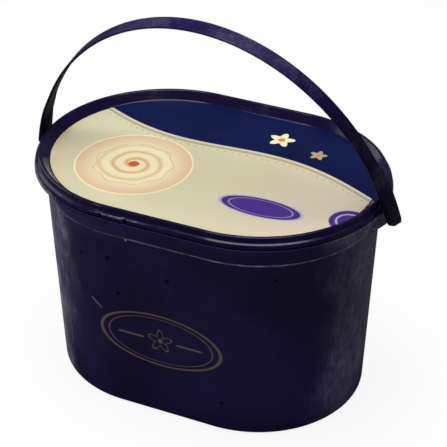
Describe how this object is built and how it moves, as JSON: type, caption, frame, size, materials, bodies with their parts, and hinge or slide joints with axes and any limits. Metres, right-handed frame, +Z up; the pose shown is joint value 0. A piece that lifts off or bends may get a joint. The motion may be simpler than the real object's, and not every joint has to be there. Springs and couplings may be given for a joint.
{
  "type": "ice cream tub with lid and handle",
  "caption": "Oval ice cream tub, shut, with a dished push-fit lid, a printed lid label and a strap handle that swings on two end pivots.",
  "frame": {"origin": "centre of the base, on the plane the tub stands on", "axes": "+Z up, +X along the tub's length towards the right-hand end of the picture, -Y towards the front of the picture"},
  "size_m": [0.2578, 0.172, 0.2667],
  "materials": {
    "tub": "glossy dark indigo plastic",
    "lid": "glossy dark purple plastic",
    "label": "glossy printed film in dark blue, cream and peach",
    "handle": "glossy dark violet plastic"
  },
  "bodies": {
    "pack": {"tub": "tub", "lid": "lid", "label": "label"},
    "bail": {"handle": "handle"}
  },
  "joints": [
    {"name": "handle_swing", "type": "hinge", "parent": "pack", "child": "bail", "pos_m": [0, 0, 0.1478], "axis": [1, 0, 0], "range_deg": [-134, 110]}
  ]
}
